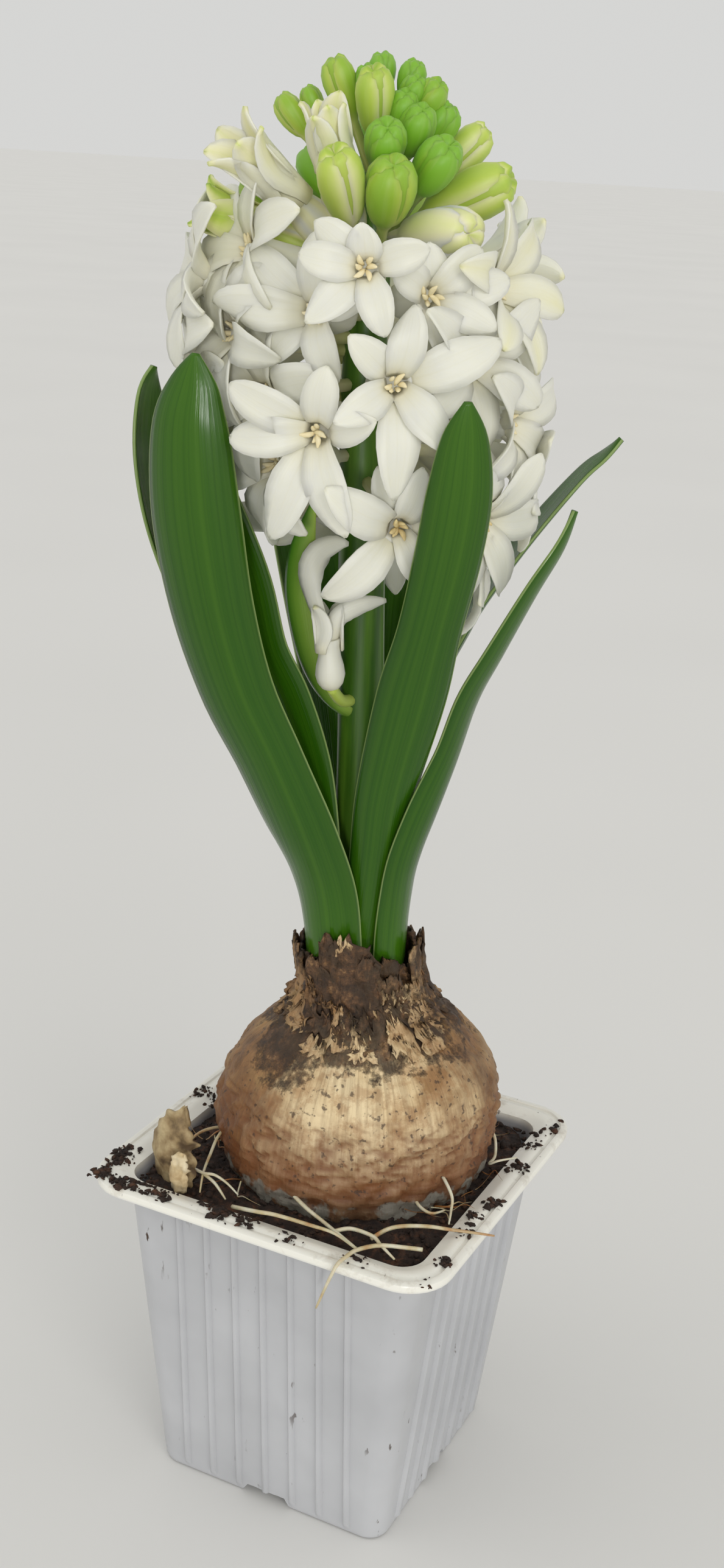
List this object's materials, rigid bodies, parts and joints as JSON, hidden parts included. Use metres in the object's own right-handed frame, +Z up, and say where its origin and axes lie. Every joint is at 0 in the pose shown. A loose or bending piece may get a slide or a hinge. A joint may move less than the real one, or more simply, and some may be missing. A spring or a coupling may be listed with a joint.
{
  "type": "potted hyacinth in flower",
  "caption": "White-flowered hyacinth growing from its bulb in a small square ribbed plastic pot, with strap leaves round one dense upright flower spike.",
  "frame": {"origin": "middle of the underside of the pot, on the surface it stands on", "axes": "+Z up along the stalk; the pot's sides are square to X and Y; the picture looks from between -Y and +X"},
  "size_m": [0.0827, 0.0825, 0.2928],
  "materials": {
    "pot_plastic": "thin moulded plastic with a soft sheen, dusted with soil",
    "potting_soil": "dark crumbly moist peat compost",
    "bulb_tunic": "dry papery bulb coat, wrinkled and blotched",
    "dried_scale": "dried brown bulb scale",
    "leaf": "smooth fleshy leaf with fine long veins",
    "flower": "waxy ivory petals, green stalk and green buds"
  },
  "bodies": {
    "root": {"pot": "pot_plastic", "soil": "potting_soil", "bulb": "bulb_tunic", "dry_scale": "dried_scale", "leaf_front_left": "leaf", "leaf_front_right": "leaf", "leaf_right": "leaf", "leaf_back_right": "leaf", "leaf_far_left": "leaf", "leaf_left": "leaf", "leaf_back_left": "leaf", "leaf_back": "leaf", "flower_spike": "flower"}
  },
  "joints": []
}
